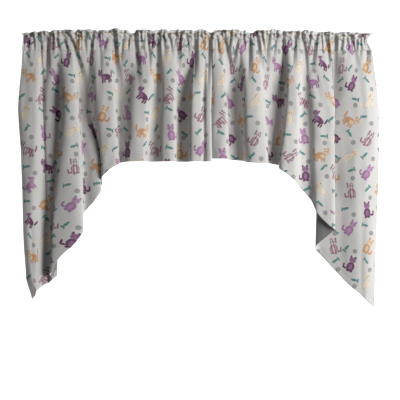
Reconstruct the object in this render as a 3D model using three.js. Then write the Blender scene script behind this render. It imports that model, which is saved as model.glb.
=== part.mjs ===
// A window swag: a pair of gathered cloth panels, hung side by side on one rod.
// Each panel has a heading strip, which is a ruffle above a hollow rod pocket, and a swag sheet
// whose hem runs level in the middle and then falls at a slant to a long tail at the outer side.
// Millimetres. X runs along the rod, Y towards the wall and Z up. The front faces -Y, and the
// origin is at the middle of the top edge.
import * as THREE from 'three';

// The cloth
const cloth = 1.5;
const hemThickness = 2.4;
const hemDepth = 25; // height of the turned and sewn hem
const clothFinish = { color: 0xd7d5d0, roughness: 0.9, metalness: 0 };

// The heading, by height
const ruffleTop = 0;
const frontLayerDip = 4; // the ruffle's front layer ends this far below its back layer
const gatherLine = -33;
const pocketSeam = -71.5;
const ruffleThickness = 2.4;
const seamThickness = 2.4;

// The pocket, seen from its end
const pocket = { front: 12, back: 11, wall: 1.5, shoulder: 7, foot: 8, crown: 5 };
const shoulderShare = 0.8; // the pocket's depth at its shoulder and foot, of its whole depth
const footShare = 0.75;

// The puckers of the gathered heading: their pitch wanders along the rod
const puckers = { pitch: 36, wander: 1.7, wanderPitch: 210 };
const puckerDepth = { ruffle: 5, gather: 2.2, front: 3.6, back: 2, seam: 2.6 };
const puckerLift = 1.8; // the ruffle's edge and the gather line rise and dip this much with them
const headingStep = 8.6; // length of heading between two sections
const endSharpness = 24; // how closely a flare or a mouth keeps to the heading's outer end

// Where the ruffle's edge stands above or below its usual height
const ruffleEdge = [
  { at: -619, width: 70, lift: -11 },
  { at: -287, width: 15, lift: 5 },
  { at: -230, width: 11, lift: -11 },
  { at: 45, width: 13, lift: -5 },
  { at: 185, width: 13, lift: -10 },
  { at: 619, width: 230, lift: -10 },
];

// The fold table gives places at these depths below the pocket's lower seam
const levels = [0, 208, 388, 628, 790, 869];
const foldsFull = 190; // the folds reach their full depth here
const seamShare = 0.12; // and have this share of it at the seam
const seamGap = 0.3; // between a heading's lower seam and its swag sheet

// The gathers below the seam, by depth: how far the puckers stand forward of the folds
const gathers = [
  { below: 0, depth: 2.6 },
  { below: 10, depth: 4.6 },
  { below: 24, depth: 5.6 },
  { below: 45, depth: 4.4 },
  { below: 75, depth: 2.6 },
  { below: 115, depth: 1 },
  { below: 160, depth: 0 },
];
const bodyRows = 8; // rows of the mesh between the gathers and the hem

// flare is how far the ruffle splays past the heading's outer end, and mouth how far the
// pocket's front wall falls short of it. A panel's folds run from its left to its right. left
// and right are the edges of a fold's front face at the levels, and stand is how far the face
// comes forward. A run is how far the wall beside the face goes along the rod, and a floor is
// how far forward that wall ends. A run that goes back under its own face makes a doubled fold.
// The hem table gives the cloth's drop below the seam by flat distance from the inner edge.
const panels = [
  {
    name: 'left',
    heading: { from: -619, to: 44.7, flare: 0, mouth: 0 },
    inner: 'right',
    hem: [
      { at: 0, drop: 388 }, { at: 300, drop: 388 }, { at: 420, drop: 389 }, { at: 460, drop: 393 },
      { at: 500, drop: 404 }, { at: 547, drop: 443 }, { at: 580, drop: 470 }, { at: 599, drop: 490 },
      { at: 630, drop: 528 }, { at: 658, drop: 559 }, { at: 704, drop: 634 }, { at: 730, drop: 682 },
      { at: 751, drop: 710 }, { at: 765, drop: 735 }, { at: 775, drop: 766 }, { at: 800, drop: 781 },
      { at: 815, drop: 785 }, { at: 849, drop: 806 }, { at: 890, drop: 829 }, { at: 935, drop: 851 },
      { at: 957, drop: 869 },
    ],
    columnsPerSpan: 3,
    folds: [
      { left: [-600, -611, -600, -592, -584, -563], right: [-556, -560, -570, -574, -570, -553],
        stand: 12, leftRun: [11, 16], leftFloor: -2, rightRun: [8, 16, 34, 42, 39, 24],
        rightFloor: -13 },
      { left: [-538, -532, -527, -519, -516, -514], right: [-504, -497, -494, -491, -491, -491],
        stand: -6, leftRun: 6, leftFloor: -13, rightRun: [2, 2, 0, -16, -19, -19],
        rightFloor: [-8, -8, -5, 0, 0, 0] },
      { left: [-468, -464, -480, -507, -512, -512], right: [-440, -420, -404, -399, -399, -399],
        stand: [26, 26, 24, 22], leftRun: [16, 22, 12, 3, 1, 1],
        leftFloor: [-8, -8, -4, 6, 7, 7], rightRun: [8, 8, 2, 0], rightFloor: [-22, -22, -14, -12] },
      { left: [-400, -398, -370, -360], right: [-386, -388, -340, -332],
        stand: [-22, -22, -3, 3], leftRun: [4, 4, 24, 32], leftFloor: [-22, -22, -14, -12],
        rightRun: [4, 4, -2, -2], rightFloor: [-22, -22, -20, -20] },
      { left: [-352, -350, -334, -330], right: [-307, -286, -281, -280],
        stand: [24, 22, 12, 9], leftRun: [24, 30, 4, 2], leftFloor: [-22, -22, -20, -20],
        rightRun: 6, rightFloor: -20 },
      { left: [-190, -225, -236], right: [-152, -180, -190],
        stand: 18, leftRun: [30, 42, 36], leftFloor: -20, rightRun: 14, rightFloor: -8 },
      { left: [-112, -115, -119], right: [-79, -82, -82],
        stand: 18, leftRun: [16, 32, 32], leftFloor: -12, rightRun: 14, rightFloor: -24 },
      { left: [-12, -23, -23], right: [14, 10, 12],
        stand: 24, leftRun: 8, leftFloor: -26, rightRun: 8, rightFloor: 15 },
      { left: [31, 29, 30], right: [41, 42, 42],
        stand: 22, leftRun: 5, leftFloor: 16, rightRun: 2, rightFloor: 18 },
    ],
  },
  {
    name: 'right',
    heading: { from: 45.3, to: 597, flare: 22, mouth: 13 },
    inner: 'left',
    hem: [
      { at: 0, drop: 377 }, { at: 150, drop: 382 }, { at: 240, drop: 392 }, { at: 358, drop: 399 },
      { at: 408, drop: 417 }, { at: 464, drop: 460 }, { at: 490, drop: 482 }, { at: 520, drop: 516 },
      { at: 555, drop: 570 }, { at: 621, drop: 630 }, { at: 688, drop: 686 }, { at: 821, drop: 824 },
      { at: 902, drop: 880 }, { at: 926, drop: 897 },
    ],
    columnsPerSpan: 4,
    folds: [
      { left: [58, 56, 56], right: [84, 98, 98],
        stand: 18, leftRun: [12, 18, 22], leftFloor: -6, rightRun: 12, rightFloor: -28 },
      { left: [161, 172, 180], right: [209, 228, 236],
        stand: 22, leftRun: [14, 30, 24], leftFloor: -28, rightRun: 14, rightFloor: -14 },
      { left: [321, 309, 288, 286], right: [350, 345, 342, 342],
        stand: 26, leftRun: [12, 16, 10, 7], leftFloor: -22, rightRun: 16, rightFloor: 6 },
      { left: [400, 405, 412, 415], right: [474, 474, 474, 473],
        stand: 27, leftRun: 24, leftFloor: 6, rightRun: [4, -45, -58, -60], rightFloor: -2 },
      { left: [513, 548, 562, 562], right: [585, 611, 610, 601, 596, 593],
        stand: 8, leftRun: [30, 117, 144, 146], leftFloor: -22, rightRun: 22, rightFloor: -6 },
    ],
  },
];

const { lerp, smoothstep, clamp } = THREE.MathUtils;

// A closed mesh from its points and triangles
function solid(name, points, triangles) {
  const geometry = new THREE.BufferGeometry();
  const places = points.flatMap((point) => point.toArray());
  geometry.setAttribute('position', new THREE.Float32BufferAttribute(places, 3));
  geometry.setIndex(triangles.flat());
  geometry.computeVertexNormals();
  const mesh = new THREE.Mesh(geometry, new THREE.MeshStandardMaterial(clothFinish));
  mesh.name = name;
  return mesh;
}

// A wave along the rod, from -1 to 1, that places the heading's uneven puckers
function puckerAt(x) {
  const wander = puckers.wander * Math.sin((2 * Math.PI * x) / puckers.wanderPitch);
  return Math.sin((2 * Math.PI * x) / puckers.pitch + wander);
}

function ruffleLiftAt(x) {
  const lifts = ruffleEdge.map(({ at, width, lift }) => lift * Math.exp(-(((x - at) / width) ** 2)));
  return lifts.reduce((sum, lift) => sum + lift, 0);
}

// The heading's outline and the pocket's hollow, seen from the end as forward distance and
// height. The outline goes down the front, along the lower seam and up the back.
function headingSection(x) {
  const wave = puckerAt(x);
  const edge = ruffleLiftAt(x) + puckerLift * wave;
  const gather = gatherLine - puckerLift * wave;
  const ruffle = puckerDepth.ruffle * wave;
  const gathered = puckerDepth.gather * wave;
  const seam = puckerDepth.seam * wave;
  const front = pocket.front + puckerDepth.front * wave;
  const back = -pocket.back + puckerDepth.back * wave;
  const shoulder = gatherLine - pocket.shoulder;
  const middle = (gatherLine + pocketSeam) / 2;
  const foot = pocketSeam + pocket.foot;
  const outline = [
    [ruffle + ruffleThickness / 2, ruffleTop - frontLayerDip + edge],
    [gathered + ruffleThickness / 2, gather],
    [front * shoulderShare, shoulder],
    [front, middle],
    [front * footShare, foot],
    [seam + seamThickness / 2, pocketSeam],
    [seam - seamThickness / 2, pocketSeam],
    [back * footShare, foot],
    [back, middle],
    [back * shoulderShare, shoulder],
    [gathered - ruffleThickness / 2, gather],
    [ruffle - ruffleThickness / 2, ruffleTop + edge],
  ];
  const hollow = [
    [0, gatherLine - pocket.crown],
    [front * shoulderShare - pocket.wall, shoulder],
    [front - pocket.wall, middle],
    [front * footShare - pocket.wall, foot],
    [0, pocketSeam + pocket.crown],
    [back * footShare + pocket.wall, foot],
    [back + pocket.wall, middle],
    [back * shoulderShare + pocket.wall, shoulder],
  ];
  return { outline, hollow };
}

// A heading strip: its sections joined along the rod, with the pocket open at both ends
function headingStrip({ name, heading }) {
  const { from, to, flare, mouth } = heading;
  const steps = Math.round((to - from) / headingStep);
  const points = [];
  const triangles = [];
  const sections = [];
  for (let k = 0; k <= steps; k += 1) {
    const share = k / steps;
    const x = lerp(from, to, share);
    const section = headingSection(x);
    sections.push(section);
    for (const [forward, height] of [...section.outline, ...section.hollow]) {
      const inRuffle = smoothstep(height, gatherLine - 1, ruffleTop - 3 * frontLayerDip);
      const inFrontWall = forward > pocket.front / 2 ? 1 - inRuffle : 0;
      const shift = (flare * inRuffle - mouth * inFrontWall) * share ** endSharpness;
      points.push(new THREE.Vector3(x + shift, -forward, height));
    }
  }
  const outlineCount = sections[0].outline.length;
  const hollowCount = sections[0].hollow.length;
  const ring = outlineCount + hollowCount;
  for (let k = 0; k < steps; k += 1) {
    for (let i = 0; i < outlineCount; i += 1) {
      const a = k * ring + i;
      const b = k * ring + ((i + 1) % outlineCount);
      triangles.push([a, b, b + ring], [a, b + ring, a + ring]);
    }
    for (let i = 0; i < hollowCount; i += 1) {
      const a = k * ring + outlineCount + i;
      const b = k * ring + outlineCount + ((i + 1) % hollowCount);
      triangles.push([a, b + ring, b], [a, a + ring, b + ring]);
    }
  }
  for (const k of [0, steps]) {
    const [outline, hollow] = [sections[k].outline, sections[k].hollow].map(
      (loop) => loop.map(([forward, height]) => new THREE.Vector2(forward, height)));
    const corners = [...outline, ...hollow];
    for (const face of THREE.ShapeUtils.triangulateShape(outline, [hollow])) {
      const turnsLeft = THREE.ShapeUtils.area(face.map((i) => corners[i])) > 0;
      const [a, b, c] = face.map((i) => k * ring + i);
      triangles.push(turnsLeft === (k === 0) ? [a, b, c] : [a, c, b]);
    }
  }
  return solid(`${name}_heading`, points, triangles);
}

// A fold table value at a depth below the seam, eased between the levels
function atLevel(column, below) {
  if (typeof column === 'number') return column;
  const last = column.length - 1;
  if (below >= levels[last]) return column[last];
  const i = levels.findIndex((level, k) => below < levels[k + 1]);
  const straight = (below - levels[i]) / (levels[i + 1] - levels[i]);
  const eased = smoothstep(straight, 0, 1);
  return lerp(column[i], column[i + 1], (straight + eased) / 2);
}

// The line that a panel's cloth follows at one depth below the seam, seen from above
function foldLine(folds, below) {
  const share = lerp(seamShare, 1, smoothstep(below, 0, foldsFull));
  const points = folds.flatMap((fold) => {
    const left = atLevel(fold.left, below);
    const right = atLevel(fold.right, below);
    const stand = atLevel(fold.stand, below);
    return [
      [left - atLevel(fold.leftRun, below), atLevel(fold.leftFloor, below)],
      [left, stand],
      [right, stand],
      [right + atLevel(fold.rightRun, below), atLevel(fold.rightFloor, below)],
    ];
  });
  const places = points.map(([x, forward]) => new THREE.Vector3(x, -forward * share, 0));
  const line = new THREE.CatmullRomCurve3(places, false, 'centripetal');
  line.arcLengthDivisions = points.length * 16;
  return line;
}

// Length of cloth below the seam, by a smooth curve through the rows of the hem table
function dropAt(hem, fromInner) {
  const chord = (i) => (hem[i + 1].drop - hem[i].drop) / (hem[i + 1].at - hem[i].at);
  const slope = (i) => {
    if (i === 0) return chord(0);
    if (i === hem.length - 1) return chord(i - 1);
    const share = (hem[i].at - hem[i - 1].at) / (hem[i + 1].at - hem[i - 1].at);
    return lerp(chord(i - 1), chord(i), share);
  };
  const past = hem.findIndex((row) => row.at > fromInner);
  const i = past < 0 ? hem.length - 2 : Math.max(past - 1, 0);
  const step = hem[i + 1].at - hem[i].at;
  const t = clamp((fromInner - hem[i].at) / step, 0, 1);
  const rise = hem[i + 1].drop - hem[i].drop;
  const [start, end] = [slope(i) * step, slope(i + 1) * step];
  return hem[i].drop + start * t + (3 * rise - 2 * start - end) * t ** 2
    + (start + end - 2 * rise) * t ** 3;
}

// How far the gathers stand forward at a depth below the seam
function gatherDepthAt(below) {
  const i = gathers.findIndex((row, k) => k > 0 && below <= row.below);
  if (i < 0) return 0;
  const share = (below - gathers[i - 1].below) / (gathers[i].below - gathers[i - 1].below);
  return lerp(gathers[i - 1].depth, gathers[i].depth, share);
}

// A swag sheet: its columns run down the cloth, each to its own place on the slanted hem. Above
// the level hem the folds slide along the cloth, so that it is gathered evenly at the seam.
function swagSheet({ name, inner, hem, columnsPerSpan, folds }) {
  const columns = (folds.length * 4 - 1) * columnsPerSpan;
  const lengths = foldLine(folds, levels[2]).getLengths(columns * 4);
  const flatWidth = lengths[columns * 4];
  const grid = [];
  for (let i = 0; i <= columns; i += 1) {
    const flat = lengths[i * 4];
    const drop = dropAt(hem, inner === 'left' ? flat : flatWidth - flat);
    const lastGather = gathers[gathers.length - 1].below;
    const depths = gathers.map((row) => row.below);
    for (let j = 1; j <= bodyRows; j += 1) {
      depths.push(lerp(lastGather, drop - hemDepth, j / bodyRows));
    }
    const seamX = foldLine(folds, 0).getPointAt(flat / flatWidth).x;
    grid.push([...depths, drop].map((below) => {
      const line = foldLine(folds, below);
      const place = below < levels[2] ? line.getPointAt(flat / flatWidth) : line.getPoint(i / columns);
      place.y -= gatherDepthAt(below) * puckerAt(seamX);
      return place.setZ(pocketSeam - seamGap - below);
    }));
  }
  return thickened(`${name}_swag`, grid);
}

// A sheet with a front, a back and a rim, from a grid of points in the middle of its cloth
function thickened(name, grid) {
  const columns = grid.length - 1;
  const rows = grid[0].length - 1;
  const near = (i, j) => grid[clamp(i, 0, columns)][clamp(j, 0, rows)];
  const points = [];
  const triangles = [];
  for (const side of [1, -1]) {
    for (let i = 0; i <= columns; i += 1) {
      for (let j = 0; j <= rows; j += 1) {
        const across = near(i + 1, j).clone().sub(near(i - 1, j));
        const down = near(i, j + 1).clone().sub(near(i, j - 1));
        const half = (j < rows - 1 ? cloth : hemThickness) / 2;
        const out = down.cross(across).setZ(0).setLength(side * half);
        points.push(near(i, j).clone().add(out));
      }
    }
  }
  const at = (side, i, j) => (side * (columns + 1) + i) * (rows + 1) + j;
  const quad = (a, b, c, d) => triangles.push([a, b, c], [a, c, d]);
  for (let i = 0; i < columns; i += 1) {
    for (let j = 0; j < rows; j += 1) {
      quad(at(0, i, j), at(0, i, j + 1), at(0, i + 1, j + 1), at(0, i + 1, j));
      quad(at(1, i, j), at(1, i + 1, j), at(1, i + 1, j + 1), at(1, i, j + 1));
    }
    quad(at(0, i, 0), at(0, i + 1, 0), at(1, i + 1, 0), at(1, i, 0));
    quad(at(0, i, rows), at(1, i, rows), at(1, i + 1, rows), at(0, i + 1, rows));
  }
  for (let j = 0; j < rows; j += 1) {
    quad(at(0, 0, j), at(1, 0, j), at(1, 0, j + 1), at(0, 0, j + 1));
    quad(at(0, columns, j), at(0, columns, j + 1), at(1, columns, j + 1), at(1, columns, j));
  }
  return solid(name, points, triangles);
}

const windowSwag = new THREE.Group();
for (const panel of panels) {
  windowSwag.add(headingStrip(panel), swagSheet(panel));
}

export default windowSwag;
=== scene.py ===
"""A window swag of printed cloth: a pair of gathered panels that hang side by side from one rod."""

import math

import bpy
import numpy as np
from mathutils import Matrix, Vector, noise


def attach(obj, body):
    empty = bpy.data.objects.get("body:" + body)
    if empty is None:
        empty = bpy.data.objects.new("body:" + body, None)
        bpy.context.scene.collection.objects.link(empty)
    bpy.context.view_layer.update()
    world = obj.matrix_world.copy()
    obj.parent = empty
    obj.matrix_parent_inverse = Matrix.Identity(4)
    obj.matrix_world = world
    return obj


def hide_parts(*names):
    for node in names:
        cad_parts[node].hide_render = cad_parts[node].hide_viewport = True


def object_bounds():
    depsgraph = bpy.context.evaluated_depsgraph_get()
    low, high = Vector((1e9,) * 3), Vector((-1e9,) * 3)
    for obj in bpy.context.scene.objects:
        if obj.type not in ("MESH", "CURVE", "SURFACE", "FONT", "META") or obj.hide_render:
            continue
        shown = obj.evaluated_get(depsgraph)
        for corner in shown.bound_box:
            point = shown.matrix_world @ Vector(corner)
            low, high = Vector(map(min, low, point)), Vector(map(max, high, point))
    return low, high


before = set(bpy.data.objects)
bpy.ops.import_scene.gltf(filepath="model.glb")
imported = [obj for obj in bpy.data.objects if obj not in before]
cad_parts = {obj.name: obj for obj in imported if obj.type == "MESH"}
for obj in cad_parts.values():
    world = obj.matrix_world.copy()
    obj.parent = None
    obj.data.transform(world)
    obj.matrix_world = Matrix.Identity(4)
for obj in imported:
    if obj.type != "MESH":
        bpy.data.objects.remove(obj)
cad_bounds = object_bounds()

# The stage.
# A pale floor lies well below the tails, under plain soft studio light. The camera stands
# straight in front, as in the photograph, where one pixel is 3.49 mm at the cloth.
MM = 0.001
pixel = 3.49 * MM
photo_size = 400
photo_centre = (198, 30)  # the pixel of the frame's origin
camera_distance = 4.2
sensor = 0.036

camera_data = bpy.data.cameras.new("camera")
camera_data.sensor_width = sensor / MM
camera_data.lens = sensor / MM * camera_distance / (photo_size * pixel)
camera = bpy.data.objects.new("camera", camera_data)
camera.location = (
    (photo_size / 2 - photo_centre[0]) * pixel,
    -camera_distance,
    (photo_centre[1] - photo_size / 2) * pixel,
)
camera.rotation_euler = (math.pi / 2, 0, 0)
bpy.context.collection.objects.link(camera)
bpy.context.scene.camera = camera
bpy.context.scene.view_settings.view_transform = "Standard"

floor_drop = 0.45
floor_bend = {"front": 0.2, "start": 2.0, "radius": 2.5}
bpy.ops.mesh.primitive_grid_add(x_subdivisions=8, y_subdivisions=64, size=16)
floor = bpy.context.object
floor.name = "studio_floor"
for vertex in floor.data.vertices:
    vertex.co.y += 8 + floor_bend["front"]
    past = vertex.co.y - floor_bend["start"]
    turn = min(max(past / floor_bend["radius"], 0), math.pi / 2)
    rise = max(past - floor_bend["radius"] * math.pi / 2, 0)
    if past > 0:
        vertex.co.y = floor_bend["start"] + floor_bend["radius"] * math.sin(turn)
        vertex.co.z = floor_bend["radius"] * (1 - math.cos(turn)) + rise
    vertex.co.z += cad_bounds[0].z - floor_drop
bpy.ops.object.shade_smooth()
floor_material = bpy.data.materials.new("pale_floor")
floor_material.use_nodes = True
floor_shader = floor_material.node_tree.nodes["Principled BSDF"]
floor_shader.inputs["Base Color"].default_value = (0.9, 0.9, 0.9, 1)
floor_shader.inputs["Roughness"].default_value = 0.9
floor_shader.inputs["Emission Color"].default_value = (1, 1, 1, 1)
floor_shader.inputs["Emission Strength"].default_value = 0.85
floor.data.materials.append(floor_material)


def soft_light(name, place, size, power, aim=(0, 0, -0.35)):
    lamp = bpy.data.lights.new(name, "AREA")
    lamp.shape = "DISK"
    lamp.size = size
    lamp.energy = power
    light = bpy.data.objects.new(name, lamp)
    light.location = place
    light.rotation_euler = (Vector(aim) - Vector(place)).to_track_quat("-Z", "Y").to_euler()
    bpy.context.collection.objects.link(light)


soft_light("key_light", place=(2.7, -2.3, -0.2), size=2.0, power=132)
soft_light("fill_light", place=(-1.5, -4.0, 0.4), size=2.5, power=3)

world = bpy.data.worlds.new("studio")
bpy.context.scene.world = world
world.use_nodes = True
world_nodes = world.node_tree.nodes
world_nodes["Background"].inputs["Color"].default_value = (1, 1, 1, 1)
seen = world_nodes.new("ShaderNodeLightPath")
strength = world_nodes.new("ShaderNodeMix")
strength.inputs["A"].default_value = 0.075
strength.inputs["B"].default_value = 1.05
world.node_tree.links.new(seen.outputs["Is Camera Ray"], strength.inputs["Factor"])
world.node_tree.links.new(strength.outputs["Result"], world_nodes["Background"].inputs["Strength"])

# The printed cloth.
# A smooth, pale plain-weave cotton, printed on its face with small cats, fish and balls of
# yarn, in a repeat of 630 mm. Its wrong side is plain.


class Wire:
    """A shader value. Python operators on it add Math nodes to its material."""

    def __init__(self, tree, socket):
        self.tree = tree
        self.socket = socket

    def node(self, kind, settings=None, output=0, **values):
        made = self.tree.nodes.new("ShaderNode" + kind)
        for name, value in (settings or {}).items():
            setattr(made, name, value)
        for key, value in values.items():
            name = key.replace("_", " ")
            target = made.inputs[int(key[2:])] if key.startswith("in") else made.inputs[name]
            if isinstance(value, Wire):
                self.tree.links.new(value.socket, target)
            else:
                target.default_value = value
        return Wire(self.tree, made.outputs[output])

    def math(self, operation, *others):
        values = {f"in{i}": value for i, value in enumerate((self, *others))}
        return self.node("Math", {"operation": operation}, **values)

    def vector(self, operation, *others, output=0):
        values = {f"in{i}": value for i, value in enumerate((self, *others))}
        return self.node("VectorMath", {"operation": operation}, output, **values)

    def mix(self, factor, colour):
        return self.node("Mix", {"data_type": "RGBA"}, 2, in0=factor, in6=self, in7=colour)

    def clamped(self):
        return self.node("Clamp", Value=self)

    def __add__(self, other):
        return self.math("ADD", other)

    def __sub__(self, other):
        return self.math("SUBTRACT", other)

    def __mul__(self, other):
        return self.math("MULTIPLY", other)

    def __truediv__(self, other):
        return self.math("DIVIDE", other)

    def __rsub__(self, other):
        return self.node("Math", {"operation": "SUBTRACT"}, in0=other, in1=self)

    __radd__ = __add__
    __rmul__ = __mul__


def srgb(red, green, blue):
    linear = [c / 12.92 if c <= 0.04045 else ((c + 0.055) / 1.055) ** 2.4 for c in (red, green, blue)]
    return (*linear, 1)


cloth_colour = srgb(0.832, 0.823, 0.812)
wrong_side_colour = srgb(0.87, 0.87, 0.865)
plum = srgb(0.40, 0.20, 0.36)
mauve = srgb(0.64, 0.46, 0.62)
tan = srgb(0.80, 0.60, 0.42)
print_end_tan = srgb(0.70, 0.58, 0.42)
cream = srgb(0.90, 0.82, 0.70)
chalk = srgb(0.90, 0.88, 0.87)
cream_white = srgb(0.90, 0.86, 0.80)
lilac = srgb(0.76, 0.60, 0.74)
maroon = srgb(0.38, 0.12, 0.26)
rose_grey = srgb(0.72, 0.58, 0.63)
teal = srgb(0.33, 0.57, 0.55)
grey = srgb(0.42, 0.43, 0.43)
ink = srgb(0.20, 0.12, 0.16)
thread = srgb(0.72, 0.70, 0.68)

cell = 63  # mm between motifs, large and small ones in turn, as on a chessboard
repeat = 10  # cells in one repeat of the print
cat_size = 1.55
fish_size = 1.3
stripe_turn = (1.05, 0.2, 0)  # radians of the stripes' wave for each mm, on a cat of size 1
weave_turn = 2600  # radians of the weave's wave for each metre
stitches_per_metre = 340
pull_turn = 520  # radians for each metre, of the small pulls beside the sewing


def blob(place, x, y, wide, high):
    """How far out of an ellipse a place is, as a share of its size: under 1 is inside it."""
    scaled = place.vector("MULTIPLY_ADD", (1 / wide, 1 / high, 0), (-x / wide, -y / high, 0))
    return scaled.vector("LENGTH", output=1)


def union(shapes):
    joined = shapes[0]
    for shape in shapes[1:]:
        joined = joined.math("MINIMUM", shape)
    return joined


def inside(shape, edge=7):
    return ((1 - shape) * edge).clamped()


def new_material(name):
    material = bpy.data.materials.new(name)
    material.use_nodes = True
    tree = material.node_tree
    shader = tree.nodes["Principled BSDF"]
    shader.inputs["Roughness"].default_value = 0.85
    shader.inputs["Sheen Weight"].default_value = 0.15
    shader.inputs["Sheen Roughness"].default_value = 0.5
    shader.inputs["Specular IOR Level"].default_value = 0.25
    uv = Wire(tree, tree.nodes.new("ShaderNodeUVMap").outputs[0])
    uv.socket.node.uv_map = "cloth"
    return material, tree, shader, uv


def cloth_surface(tree, shader, uv, colour, printed):
    """Adds the weave, the slubs, painted shade in creases and folds, and the sewing to a cloth's colour and
    surface.
    """
    threads = uv.vector("MULTIPLY", (weave_turn, weave_turn, 0))
    across = threads.node("SeparateXYZ", Vector=threads)
    down = Wire(tree, across.socket.node.outputs[1])
    weave = across.math("SINE") * down.math("SINE")
    slub_place = uv.vector("MULTIPLY", (160, 1500, 0))
    slubs = uv.node("TexNoise", {"noise_dimensions": "2D"}, Vector=slub_place, Scale=1.0, Detail=2.0)
    blotch = uv.node("TexNoise", {"noise_dimensions": "2D"}, Vector=uv, Scale=14.0, Detail=3.0)
    sewing = uv.node("Attribute", {"attribute_name": "stitching"}, 1)
    from_hem = sewing.node("SeparateXYZ", Vector=sewing)
    from_seam = Wire(tree, from_hem.socket.node.outputs[1])
    from_edge = Wire(tree, from_hem.socket.node.outputs[2])
    near_row = from_hem.math("ABSOLUTE").math("MINIMUM", from_seam.math("ABSOLUTE"))
    place = uv.node("SeparateXYZ", Vector=uv)
    dash = ((place * float(stitches_per_metre)).math("FRACT") - 0.5).math("ABSOLUTE")
    stitch = ((0.36 - dash) * 20).clamped() * ((0.42 - near_row) * 8).clamped()
    # Near the sewing the cloth dents, and its colour takes a little painted shade
    groove = (1 - near_row * 0.55).clamped()
    if printed:
        print_end = ((3.6 - from_edge) * 2).clamped() * ((from_edge - 0.5) * 2).clamped()
        colour = colour.mix(print_end * 0.7, print_end_tan)
    colour = colour.mix(stitch * 0.55, thread)
    grain = uv.node("TexNoise", {"noise_dimensions": "2D"}, Vector=uv, Scale=240.0, Detail=2.0)
    shade = (slubs - 0.5) * 0.10 + (blotch - 0.5) * 0.06 + (grain - 0.5) * 0.22 + weave * 0.02
    # Painted shade from the mesh: darker in creases, where a fold turns the cloth under and along the
    # gathering line; the plain side takes more of it
    crease = sewing.node("Attribute", {"attribute_name": "crease"}, 2)
    shade = shade - groove * 0.03 - crease * (0.28 if printed else 0.6)
    darker = colour.vector("SCALE", output=0)
    tree.links.new((shade + 1.0).socket, darker.socket.node.inputs["Scale"])
    tree.links.new(darker.socket, shader.inputs["Base Color"])
    crumple = uv.node("TexNoise", {"noise_dimensions": "2D"}, Vector=uv, Scale=45.0, Detail=4.0)
    drawn = (place * float(pull_turn)).math("SINE") * (1 - near_row * 0.14).clamped()
    height = crumple * 0.5 + slubs * 0.12 + weave * 0.05 - groove * 0.3 + stitch * 0.25 + drawn * 0.16
    bump = height.node("Bump", Strength=0.4, Distance=0.0012, Height=height)
    tree.links.new(bump.socket, shader.inputs["Normal"])
    tree.links.new((0.8 + slubs * 0.12).socket, shader.inputs["Roughness"])


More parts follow.
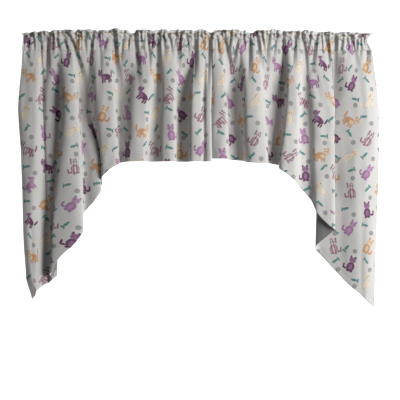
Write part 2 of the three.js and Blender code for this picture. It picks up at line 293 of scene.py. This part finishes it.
def printed_cloth():
    material, tree, shader, uv = new_material("printed_cloth")
    place = uv.vector("SCALE")
    place.socket.node.inputs["Scale"].default_value = 1 / (cell * MM)
    cell_id = place.vector("FLOOR")
    within = place.vector("SUBTRACT", cell_id)
    in_repeat = cell_id.vector("MODULO", (repeat, repeat, 1))
    in_repeat = in_repeat.vector("ADD", (repeat, repeat, 0)).vector("MODULO", (repeat, repeat, 1))
    chance = in_repeat.node("TexWhiteNoise", {"noise_dimensions": "3D"}, 1, Vector=in_repeat)
    other = in_repeat.vector("ADD", (7.3, 3.1, 5.0))
    choice = other.node("TexWhiteNoise", {"noise_dimensions": "3D"}, 0, Vector=other)
    split = chance.node("SeparateXYZ", Vector=chance)
    turn = Wire(tree, split.socket.node.outputs[2])
    cell_row = in_repeat.node("SeparateXYZ", Vector=in_repeat)
    parity = (cell_row + Wire(tree, cell_row.socket.node.outputs[1])).math("MODULO", 2.0)
    shifted = within.vector("SUBTRACT", (0.5, 0.5, 0))
    shifted = shifted.vector("MULTIPLY_ADD", (cell, cell, 0), (0, 0, 0))
    jitter = chance.vector("SUBTRACT", (0.5, 0.5, 0)).vector("MULTIPLY", (13, 13, 0))
    shifted = shifted.vector("ADD", jitter)
    local = shifted.node(
        "VectorRotate", {"rotation_type": "Z_AXIS"}, Vector=shifted, Angle=(turn - 0.5) * 2.0
    )
    facing = (choice.math("GREATER_THAN", 0.5) - 0.5) * 2.0
    mirror = local.node("CombineXYZ", X=facing, Y=1.0, Z=1.0)
    local = local.vector("MULTIPLY", mirror)
    small = local.vector("MULTIPLY", (1 / fish_size, 1 / fish_size, 1))
    local = local.vector("MULTIPLY", (1 / cat_size, 1 / cat_size, 1))

    # A cat that walks, and one that sits
    walking = [
        blob(local, -2, 0, 14, 7.5),
        blob(local, 13, 8, 7, 6.5),
        blob(local, 9, 14, 2.2, 3.6),
        blob(local, 16, 14.5, 2.2, 3.6),
        blob(local, 7, -9, 2.4, 6),
        blob(local, 1.5, -9, 2.2, 5),
        blob(local, -9, -9, 2.4, 6),
        blob(local, -14, -8, 2.2, 5),
        blob(local, -17.5, 8, 2.3, 9),
    ]
    sitting = [
        blob(local, 0, -6, 9.5, 11),
        blob(local, 0, 9, 8, 6.8),
        blob(local, -5, 15.5, 2.4, 4),
        blob(local, 5, 15.5, 2.4, 4),
        blob(local, 12, -12, 6, 2.4),
        blob(local, 16, -7, 2.2, 5.5),
        blob(local, -4, -16, 4, 2.6),
        blob(local, 4, -16, 4, 2.6),
    ]
    sits = choice.math("MODULO", 0.25).math("GREATER_THAN", 0.125)

    def either(one, two):
        return one * (1 - sits) + two * sits

    cat = either(union(walking), union(sitting))
    cat_mask = inside(cat) * (1 - parity)
    head = inside(either(walking[1], sitting[1]), 4)
    chest = inside(either(blob(local, 4, -1, 7, 5), blob(local, 0, -7, 5, 8)), 3)
    face = either(walking[1], sitting[1])
    across = local.vector("DOT_PRODUCT", stripe_turn, output=1)
    stripes = ((across.math("SINE") - 0.1) * 3).clamped()

    column_row = in_repeat.vector("DOT_PRODUCT", (0.5, 1.5, 0), output=1)
    kind = (column_row + 0.25).math("MODULO", 5.0)
    is_tabby = (kind - 1.25).math("COMPARE", 0.0, 0.4)
    is_tan = (kind - 2.25).math("COMPARE", 0.0, 0.4)
    is_mauve = (kind - 3.25).math("COMPARE", 0.0, 0.4)
    is_cream = (kind - 4.25).math("COMPARE", 0.0, 0.4)
    is_pale = is_tabby + is_cream
    coat = local.node("RGB")
    coat.socket.default_value = plum
    coat = coat.mix(is_tan, tan).mix(is_mauve, mauve).mix(is_tabby, rose_grey).mix(is_cream, cream_white)
    soft = local.node("RGB")
    soft.socket.default_value = mauve
    soft = soft.mix(is_tan, cream).mix(is_mauve, lilac).mix(is_tabby, chalk).mix(is_cream, cream)
    fur = coat.mix(((head + chest) * 0.8).clamped(), soft)
    fur = fur.mix(stripes * is_tabby * 0.7, maroon)
    fur = fur.mix((((cat - 0.86) * 12).clamped() * (0.55 + is_pale * 0.25)), ink)
    eyes = union([blob(local, 11, 9, 1.2, 1.4), blob(local, 15.5, 9, 1.2, 1.4)])
    sit_eyes = union([blob(local, -3, 10, 1.2, 1.4), blob(local, 3, 10, 1.2, 1.4)])
    fur = fur.mix(inside(either(eyes, sit_eyes)) * inside(face, 20), ink)

    # A fish, and a ball of yarn
    fish = union([
        blob(small, -9, 7, 9.5, 3.6),
        blob(small, -19.5, 9.5, 2.4, 3.8),
        blob(small, -19.5, 4.5, 2.4, 3.8),
    ])
    fish_mask = inside(fish) * parity
    ball = blob(shifted, 15, -15, 8.5, 8.5)
    ball_mask = inside(ball) * parity
    windings = shifted.vector("DOT_PRODUCT", (1.3, 1.7, 0), output=1).math("SINE")
    yarn = windings.node("RGB")
    yarn.socket.default_value = grey
    yarn = yarn.mix((windings * 1.4).clamped() * 0.75, chalk)
    yarn = yarn.mix(((ball - 0.8) * 12).clamped() * 0.7, ink)
    fish_colour = windings.node("RGB")
    fish_colour.socket.default_value = teal
    fish_colour = fish_colour.mix(((fish - 0.72) * 9).clamped() * 0.4, ink)

    ground = windings.node("RGB")
    ground.socket.default_value = cloth_colour
    colour = ground.mix(cat_mask * 0.95, fur)
    colour = colour.mix(fish_mask * 0.95, fish_colour)
    colour = colour.mix(ball_mask * 0.9, yarn)
    cloth_surface(tree, shader, uv, colour, printed=True)
    return material


def plain_side():
    material, tree, shader, uv = new_material("plain_wrong_side")
    colour = uv.node("RGB")
    colour.socket.default_value = wrong_side_colour
    cloth_surface(tree, shader, uv, colour, printed=False)
    return material


print_side = printed_cloth()
wrong_side = plain_side()

# The two swag sheets.
# Each is one piece of cloth, gathered along the pocket's lower seam and cut at a slant to its
# outer tail, with a narrow hem turned up and sewn all round. The folds are those of the solids,
# but for a few mm at the join and the left outer edge, and the creases are finer.
gather_line = -33
pocket_seam = -71.5
hem_depth = 25
no_sewing_near = 99.0  # mm
cloth_thickness = 1.0
levels = np.array([0, 208, 388, 628, 790, 869], float)
folds_full = 190
seam_share = 0.12
puckers = {"pitch": 36, "wander": 1.7, "wander_pitch": 210}

panels = {
    "left": {
        "inner": "right",
        "hem": [(0, 388), (300, 388), (420, 389), (460, 393), (500, 404), (547, 443), (580, 470),
                (599, 490), (630, 528), (658, 559), (704, 634), (730, 682), (751, 710),
                (765, 735), (775, 766), (800, 781), (815, 785), (849, 806), (890, 829),
                (933, 851), (953, 869)],
        "print_shift": (0.0, 0.0),
        "folds": [
            {"left": [-600, -611, -600, -592, -584, -563], "right": [-556, -560, -570, -574, -570, -553],
             "stand": 12, "left_run": [11, 16], "left_floor": 6, "right_run": [8, 16, 34, 42, 39, 24],
             "right_floor": -13},
            {"left": [-538, -532, -527, -519, -516, -514], "right": [-504, -497, -494, -491, -491, -491],
             "stand": -6, "left_run": 6, "left_floor": -13, "right_run": [2, 2, 0, -16, -19, -19],
             "right_floor": [-8, -8, -5, 0, 0, 0]},
            {"left": [-468, -464, -480, -507, -512, -512], "right": [-440, -420, -404, -399, -399, -399],
             "stand": [26, 26, 24, 22], "left_run": [16, 22, 12, 3, 1, 1],
             "left_floor": [-8, -8, -4, 6, 7, 7], "right_run": [8, 8, 2, 0],
             "right_floor": [-22, -22, -14, -12]},
            {"left": [-400, -398, -370, -360], "right": [-386, -388, -340, -332],
             "stand": [-22, -22, -3, 3], "left_run": [4, 4, 24, 32], "left_floor": [-22, -22, -14, -12],
             "right_run": [4, 4, -2, -2], "right_floor": [-22, -22, -20, -20]},
            {"left": [-352, -350, -334, -330], "right": [-307, -286, -281, -280],
             "stand": [24, 22, 12, 9], "left_run": [24, 30, 4, 2], "left_floor": [-22, -22, -20, -20],
             "right_run": 6, "right_floor": -20},
            {"left": [-190, -225, -236], "right": [-152, -180, -190],
             "stand": 18, "left_run": [30, 42, 36], "left_floor": -20, "right_run": 14, "right_floor": -8},
            {"left": [-112, -115, -119], "right": [-79, -82, -82],
             "stand": 18, "left_run": [16, 32, 32], "left_floor": -12, "right_run": 14, "right_floor": -24},
            {"left": [-12, -23, -23], "right": [14, 10, 12],
             "stand": 24, "left_run": 8, "left_floor": -26, "right_run": 8, "right_floor": 15},
            {"left": [31, 29, 30], "right": [45, 43, 42],
             "stand": 22, "left_run": 5, "left_floor": 16, "right_run": [3, 2, 2], "right_floor": 18},
        ],
    },
    "right": {
        "inner": "left",
        "hem": [(0, 377), (150, 382), (240, 392), (358, 399), (408, 417), (464, 460), (490, 482),
                (520, 516), (555, 570), (621, 630), (688, 686), (821, 824), (902, 880), (926, 897)],
        "print_shift": (0.031, 0.083),
        "folds": [
            {"left": [58, 56, 56], "right": [84, 98, 98],
             "stand": 18, "left_run": [16, 20, 22], "left_floor": -6, "right_run": 12, "right_floor": -28},
            {"left": [161, 172, 180], "right": [209, 228, 236],
             "stand": 22, "left_run": [14, 30, 24], "left_floor": -28, "right_run": 14, "right_floor": -14},
            {"left": [321, 309, 288, 286], "right": [350, 345, 342, 342],
             "stand": 26, "left_run": [12, 16, 10, 7], "left_floor": -22, "right_run": 16,
             "right_floor": 6},
            {"left": [400, 405, 412, 415], "right": [474, 474, 474, 473],
             "stand": 27, "left_run": 24, "left_floor": 6, "right_run": [4, -45, -58, -60],
             "right_floor": -2},
            {"left": [513, 548, 562, 562], "right": [585, 611, 610, 601, 596, 593],
             "stand": 8, "left_run": [30, 117, 144, 146], "left_floor": -22, "right_run": 22,
             "right_floor": -6},
        ],
    },
}


def smooth(value, low, high):
    share = np.clip((value - low) / (high - low), 0, 1)
    return share * share * (3 - 2 * share)


def at_level(column, below):
    """A fold table value at a depth below the seam, eased between the levels."""
    values = np.full(len(levels), column, float) if np.isscalar(column) else np.array(column, float)
    values = np.concatenate([values, np.full(len(levels) - len(values), values[-1])])
    i = np.clip(np.searchsorted(levels, below, side="right") - 1, 0, len(levels) - 2)
    straight = np.clip((below - levels[i]) / (levels[i + 1] - levels[i]), 0, 1)
    share = (straight + smooth(straight, 0, 1)) / 2
    return values[i] * (1 - share) + values[i + 1] * share


def fold_corners(folds, below):
    """The corners of the folds at depths below the seam, as places along and in front of the rod."""
    share = seam_share + (1 - seam_share) * smooth(below, 0, folds_full)
    corners = []
    for fold in folds:
        left = at_level(fold["left"], below)
        right = at_level(fold["right"], below)
        left_floor, right_floor = (at_level(fold[f"{side}_floor"], below) for side in ("left", "right"))
        stand = at_level(fold["stand"], below) * share
        corners.append((left - at_level(fold["left_run"], below), left_floor * share))
        corners.append((left, stand))
        corners.append((right, stand))
        corners.append((right + at_level(fold["right_run"], below), right_floor * share))
    return np.array([np.stack(corner) for corner in corners])


def rounded(corners, where):
    """A smooth line through the corners, at places counted in corners from the first."""
    last = len(corners) - 1
    corners = np.concatenate([2 * corners[:1] - corners[1:2], corners, 2 * corners[-1:] - corners[-2:-1]])
    where = np.broadcast_to(where, corners.shape[2:])
    first = np.clip(where.astype(int), 0, last - 1)
    each = np.arange(len(first))
    p0, p1, p2, p3 = (corners[first + k, :, each].T for k in range(4))
    d0, d1, d2 = (np.sqrt(np.linalg.norm(b - a, axis=0)) for a, b in ((p0, p1), (p1, p2), (p2, p3)))
    start = ((p1 - p0) / d0 - (p2 - p0) / (d0 + d1) + (p2 - p1) / d1) * d1
    end = ((p2 - p1) / d1 - (p3 - p1) / (d1 + d2) + (p3 - p2) / d2) * d1
    t = where - first
    return (
        p1 + start * t + (-3 * p1 + 3 * p2 - 2 * start - end) * t**2
        + (2 * p1 - 2 * p2 + start + end) * t**3
    )


def fold_line(folds, below, where):
    return rounded(fold_corners(folds, np.full(len(where), float(below))), where)


def lengths_along(line):
    return np.concatenate([[0], np.cumsum(np.linalg.norm(np.diff(line, axis=1), axis=0))])


def drop_at(hem, from_inner):
    """The cloth's length below the seam, from a table by flat distance from the inner edge."""
    at, drop = (np.array(column, float) for column in zip(*hem))
    slope = np.gradient(drop, at)
    i = np.clip(np.searchsorted(at, from_inner, side="right") - 1, 0, len(at) - 2)
    step = at[i + 1] - at[i]
    t = np.clip((from_inner - at[i]) / step, 0, 1)
    return (
        drop[i] + slope[i] * step * t
        + (3 * (drop[i + 1] - drop[i]) - (2 * slope[i] + slope[i + 1]) * step) * t**2
        + (2 * (drop[i] - drop[i + 1]) + (slope[i] + slope[i + 1]) * step) * t**3
    )


def pucker_phase(x):
    wander = puckers["wander"] * np.sin(2 * np.pi * x / puckers["wander_pitch"])
    return 2 * np.pi * x / puckers["pitch"] + wander


def wander(u, v, pitch, seed):
    """Slow, uneven swells in the cloth, drawn out down its length."""
    shape = np.broadcast(u, v).shape
    us, vs = np.broadcast_to(u, shape).ravel(), np.broadcast_to(v, shape).ravel()
    values = [noise.noise(Vector((a / pitch, b / (4 * pitch), seed))) for a, b in zip(us, vs)]
    return np.array(values).reshape(shape)


creases = [
    # place along the rod, depth, reach down from the gathering line and drift sideways, in mm
    (-593, 6, 110, -4), (-551, 9, 190, 10), (-523, 17, 230, -14), (-492, 9, 110, 20),
    (-468, 12, 150, 32), (-443, 14, 230, 60), (-370, 11, 130, -14), (-345, 7, 150, 8),
    (-293, 17, 230, 14), (-262, 8, 120, -10), (-220, 16, 170, 12), (-174, 11, 150, 8),
    (-140, 17, 240, -4), (-98, 8, 130, 20), (-63, 14, 160, -22), (-10, 15, 240, -4),
    (40, 16, 220, -8), (66, 9, 120, 16), (91, 17, 200, 38), (140, 9, 150, -30),
    (181, 16, 190, -8), (206, 13, 150, 14), (244, 8, 130, -8), (297, 17, 240, -4),
    (339, 11, 140, -12), (366, 14, 150, 16), (412, 12, 150, -24), (447, 16, 160, 18),
    (478, 17, 250, -4), (503, 9, 110, -16), (537, 13, 140, 22), (569, 7, 110, -10),
    (593, 10, 150, -10), (-575, 6, 60, 6), (-536, 8, 70, 12), (-506, 8, 80, -6), (-420, 7, 70, -12),
    (-396, 8, 90, 10), (-320, 7, 80, -14), (-240, 8, 60, -8), (-198, 7, 80, 14), (-157, 8, 70, -10),
    (-120, 7, 90, 6), (-80, 8, 70, -8), (-38, 8, 110, 12), (15, 8, 80, 8), (112, 9, 80, -12),
    (160, 9, 100, 12), (225, 8, 110, 16), (270, 9, 80, -6), (320, 9, 90, 12), (388, 9, 80, -12),
    (430, 8, 110, 10), (520, 9, 90, 6), (555, 9, 100, -8), (580, 8, 60, 6),
]
crease_width = {"left": 6, "right": 9}
full_shade_depth = 16  # mm, the depth of a crease that is wholly in shade
small_gathers = [(12, 1.6), (-20, 1.8), (-33, 1.8), (-43, 1.6), (-60, 1.0), (-80, 0.6), (-120, 0.0)]


def creased(x, height):
    """How deep the listed creases are: a soft fall on the left, a steep rise on the right."""
    depth_here = np.zeros(np.broadcast(x, height).shape)
    for at, depth, reach, drift in creases:
        down = np.clip((gather_line - height) / reach, 0, 1)
        up = np.clip((height - gather_line) / 42, 0, 1)
        spread = (0.6 + 0.05 * depth) * (1 + 0.9 * down + 0.3 * up)
        past = (x - at - drift * (down**0.8 - 0.5 * up)) / spread
        fall = np.exp(np.minimum(past, 0) / crease_width["left"])
        rise = np.clip(1 - past / crease_width["right"], 0, 1)
        fade = (1 - smooth(down, 0.1, 1)) * (1 - 0.65 * up)
        depth_here = np.maximum(depth_here, depth * fade * np.where(past < 0, fall, rise))
    return depth_here


def gathers(x, height):
    """How far the gathered cloth stands forward: round crests between sharp creases."""
    x, height = np.broadcast_arrays(np.asarray(x, float), np.asarray(height, float))
    row = x if x.ndim == 1 else x[:, 0]
    uneven = 0.8 + 1.4 * wander(row, 0.0, 25, 8.0)
    slip = 1.5 * wander(row, 0.0, 60, 9.0)
    if x.ndim > 1:
        uneven, slip = uneven[:, None], slip[:, None]
    small = 2 * np.abs(np.sin(pucker_phase(x) * 1.31 + 0.6 + slip)) - 1.27
    heights, size = (np.array(column, float) for column in zip(*small_gathers[::-1]))
    return small * uneven * np.interp(height, heights, size) - creased(x, height)


front_fullness = [(-33, 5), (-37, 8), (-44, 12), (-54, 13), (-64, 11), (-71.5, 9),
                  (-100, 7), (-150, 4), (-230, 0)]


def fullness(height):
    """How far the front of the pocket, and the cloth below it, swells over the rod."""
    heights, forward = (np.array(column, float) for column in zip(*front_fullness[::-1]))
    return np.interp(height, heights, forward)


def cloth_object(name, points, flat_places, stitching, shade, columns, rows):
    """A sheet of cloth from a grid of places in mm.

    Its UV map holds the flat cloth's places in metres. The stitching attribute holds the
    distances in mm from the hem's stitching, from the other stitching and from the edge, and
    the last attribute the painted shade, from 0 to 1: in creases, where a fold turns the
    cloth under, and along the gathering line.
    """
    bpy.ops.object.select_all(action="DESELECT")
    bpy.ops.mesh.primitive_grid_add(x_subdivisions=columns, y_subdivisions=rows, size=2)
    sheet = bpy.context.object
    sheet.name = name
    mesh = sheet.data
    mesh.name = name
    flat = np.zeros(len(mesh.vertices) * 3)
    mesh.vertices.foreach_get("co", flat)
    flat = flat.reshape(-1, 3)
    i = np.rint((flat[:, 0] + 1) / 2 * columns).astype(int)
    j = np.rint((1 - flat[:, 1]) / 2 * rows).astype(int)
    mesh.vertices.foreach_set("co", (points[i, j] * MM).ravel())
    corner = np.zeros(len(mesh.loops), int)
    mesh.loops.foreach_get("vertex_index", corner)
    layer = mesh.uv_layers[0] if mesh.uv_layers else mesh.uv_layers.new()
    layer.name = "cloth"
    layer.uv.foreach_set("vector", (flat_places[i, j] * MM)[corner].ravel())
    rows_sewn = mesh.attributes.new("stitching", "FLOAT_VECTOR", "POINT")
    rows_sewn.data.foreach_set("vector", stitching[i, j].ravel())
    in_crease = mesh.attributes.new("crease", "FLOAT", "POINT")
    in_crease.data.foreach_set("value", np.clip(shade, 0, 1)[i, j].ravel())
    mesh.update()
    mesh.materials.append(print_side)
    mesh.materials.append(wrong_side)
    bpy.ops.object.shade_smooth()
    return sheet


def give_thickness(sheet, thickness=cloth_thickness):
    solidify = sheet.modifiers.new("thickness", "SOLIDIFY")
    solidify.thickness = thickness * MM
    solidify.offset = 0
    solidify.material_offset = 1
    bpy.context.view_layer.objects.active = sheet
    bpy.ops.object.modifier_apply(modifier=solidify.name)


sheet_columns = {"left": 310, "right": 304}
sheet_rows = 140
hem_rows = 10


def swag_sheet(name, panel):
    folds = panel["folds"]
    columns = sheet_columns[name]
    where = np.linspace(0, len(folds) * 4 - 1, columns + 1)
    fine = np.linspace(0, len(folds) * 4 - 1, 4 * columns)
    flat = lengths_along(fold_line(folds, levels[2], where))
    depths = np.linspace(0, levels[2], 25)
    evenly = []
    for depth in depths:
        along = lengths_along(fold_line(folds, depth, fine))
        evenly.append(np.interp(flat / flat[-1], along / along[-1], fine))
    evenly = np.array(evenly)
    drop = drop_at(panel["hem"], flat if panel["inner"] == "left" else flat[-1] - flat)
    share = np.linspace(0, 1, sheet_rows - hem_rows + 1) ** 1.12
    body = share[None, :] * (drop - hem_depth)[:, None]
    hem = (drop - hem_depth)[:, None] + hem_depth * np.linspace(0, 1, hem_rows + 1)[None, 1:]
    below = np.concatenate([body, hem], axis=1)
    points = np.zeros((columns + 1, sheet_rows + 1, 3))
    for i, w in enumerate(where):
        spread = np.where(below[i] < levels[2], np.interp(below[i], depths, evenly[:, i]), w)
        place = rounded(fold_corners(folds, below[i]), spread)
        points[i, :, 0] = place[0]
        points[i, :, 1] = -place[1] * smooth(below[i], -12, 30)
    points[:, :, 2] = pocket_seam - below

    across = np.gradient(points[:, :, :2], axis=0)
    # Where the sheet runs back under itself in a fold, which gets painted shade
    turned_under_shade = smooth(-across[:, :, 0] / np.linalg.norm(across, axis=2), 0.2, 0.7)
    out = np.stack([across[:, :, 1], -across[:, :, 0]], axis=2)
    out /= np.maximum(np.linalg.norm(out, axis=2, keepdims=True), 1e-6)
    gathered = gathers(points[:, :, 0], points[:, :, 2])
    swell = 5.0 * wander(flat[:, None], below, 62, 1.0) + 2.6 * wander(flat[:, None], below, 27, 2.0)
    swell = swell * smooth(below, 10, 120)
    edge = below - (drop - hem_depth)[:, None]
    stitched = -0.5 * np.exp(-((edge - 2) / 2.2) ** 2)
    points[:, :, :2] += out * (gathered + swell + stitched + fullness(points[:, :, 2]))[:, :, None]
    places = np.stack([np.broadcast_to(flat[:, None], below.shape), -below], axis=2)
    places += np.array(panel["print_shift"]) / MM
    far = np.full(below.shape, no_sewing_near)
    stitching = np.stack([edge - 3, below, far], axis=2)
    # Painted shade: darker in the creases and where the cloth turns under in a fold
    shade = creased(points[:, :, 0], points[:, :, 2]) / full_shade_depth + turned_under_shade
    sheet = cloth_object(f"{name}_swag_cloth", points, places, stitching, shade, columns, sheet_rows)
    give_thickness(sheet)
    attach(sheet, "root")
    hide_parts(f"{name}_swag")
    return flat[-1]


panel_width = {name: swag_sheet(name, panel) for name, panel in panels.items()}

# The two headings.
# Each panel's top is folded back and sewn along two lines, which makes a ruffle above a rod
# pocket. Gathered on the rod, both pucker. The plain back layer shows above the front one.
layer_gap = 1.6
back_depth = 9
ruffle_edge = [
    {"at": -619, "width": 70, "lift": -11},
    {"at": -287, "width": 15, "lift": 5},
    {"at": -230, "width": 11, "lift": -11},
    {"at": 45, "width": 13, "lift": -5},
    {"at": 185, "width": 13, "lift": -10},
    {"at": 619, "width": 230, "lift": -10},
]
headings = {
    "left": {
        "from": -619, "to": 44.95, "end": "left",
        "neck": [(0, 0), (-8, 1), (-18, 8), (-50, 9), (-71.5, 6)],
    },
    "right": {
        "from": 45.05, "to": 597, "end": "right",
        "neck": [(0, 32), (-8, 27), (-20, 0), (-33, -6), (-45, -7), (-55, -2), (-64, 4), (-71.5, 8)],
    },
}
end_sharpness = 24
heading_columns = 300
ruffle_rows = 9
pocket_rows = 17
gather_row = ruffle_rows - 1
seam_row = gather_row + pocket_rows - 1
back_gather_row = seam_row + pocket_rows


def heading_strip(name):
    spec = headings[name]
    share = np.linspace(0, 1, heading_columns + 1)
    x = spec["from"] + (spec["to"] - spec["from"]) * share
    fine = wander(x[:, None], np.zeros(1), 9, 5.0)[:, 0]
    slow = wander(x[:, None], np.zeros(1), 60, 6.0)[:, 0]
    lift = sum(e["lift"] * np.exp(-(((x - e["at"]) / e["width"]) ** 2)) for e in ruffle_edge)
    edge = 1 + lift + 0.3 * gathers(x, 12) + 3.0 * fine + 6 * wander(x, 0.0, 28, 13.0)
    dip = np.clip(9.5 + 16 * slow + 0.3 * gathers(x, 12), 2.5, 15)
    gather = gather_line + 0.5 * gathers(x, -43) + 1.2 * fine

    def ruffle(t, top, side):
        height = gather + (top - gather) * t
        crumple = 13 * wander(x + 0.8 * height, 4 * height, 14, 21.0) * smooth(t, 0, 0.4)
        lean = gathers(x, height) + (3.5 * fine + 8 * slow) * t + crumple
        curl = (3.2 + 5 * fine) * np.sin(np.pi * t) ** 0.7 if side == 1 else 0
        return fullness(gather_line) + lean + curl + side * layer_gap * (0.2 + 0.8 * t), height

    def pocket_wall(t, side):
        height = gather + (pocket_seam - gather) * t
        if side == 1:
            return gathers(x, height) + fullness(height), height
        behind = np.sin(np.pi * t) ** 0.6
        sewn = (fullness(height) - 0.4) * (1 - behind) - back_depth * behind
        return gathers(x, height) * (1 - 0.75 * behind) + sewn, height

    path = []
    for t in np.linspace(1, 0, ruffle_rows):
        path.append(ruffle(t, edge - dip, 1))
    for t in np.linspace(0, 1, pocket_rows)[1:]:
        path.append(pocket_wall(t, 1))
    for t in np.linspace(1, 0, pocket_rows):
        path.append(pocket_wall(t, -1))
    for t in np.linspace(0, 1, ruffle_rows)[1:]:
        path.append(ruffle(t, edge, -1))
    rows = len(path) - 1
    points = np.zeros((heading_columns + 1, rows + 1, 3))
    at_end = (share if spec["end"] == "right" else 1 - share) ** end_sharpness
    heights, out = (np.array(column, float) for column in zip(*spec["neck"][::-1]))
    for j, (forward, height) in enumerate(path):
        points[:, j] = np.stack([x + np.interp(height, heights, out) * at_end, -forward, height], axis=1)
    stretch = panel_width[name] / (spec["to"] - spec["from"])
    steps = np.linalg.norm(np.diff(points[0], axis=0), axis=1)
    down = np.concatenate([[0], np.cumsum(steps)])
    flat_x = (x - x[0]) * stretch
    flat_v = down[seam_row] - down
    places = np.stack(np.broadcast_arrays(flat_x[:, None], flat_v[None, :]), axis=2)
    places = places + np.array(panels[name]["print_shift"]) / MM
    sewn_rows = down[[gather_row, seam_row, back_gather_row]]
    sewn = np.abs(down[:, None] - sewn_rows[None, :]).min(axis=1)
    from_edge = np.minimum(down, down[-1] - down)
    stitching = np.stack([np.full(rows + 1, no_sewing_near), sewn, from_edge], axis=1)
    stitching = np.broadcast_to(stitching, (heading_columns + 1, rows + 1, 3))
    # Painted shade: darker in the creases and in a band along the gathering line, with less of it on the
    # back ruffle
    shade = creased(points[:, :, 0], points[:, :, 2]) / full_shade_depth
    shade = shade + 0.5 * np.exp(-(((points[:, :, 2] - gather[:, None] - 1) / 4) ** 2))
    shade[:, back_gather_row:] *= 0.3
    strip = cloth_object(f"{name}_heading_cloth", points, places, stitching, shade, heading_columns, rows)
    give_thickness(strip)
    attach(strip, "root")
    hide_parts(f"{name}_heading")


for name in headings:
    heading_strip(name)
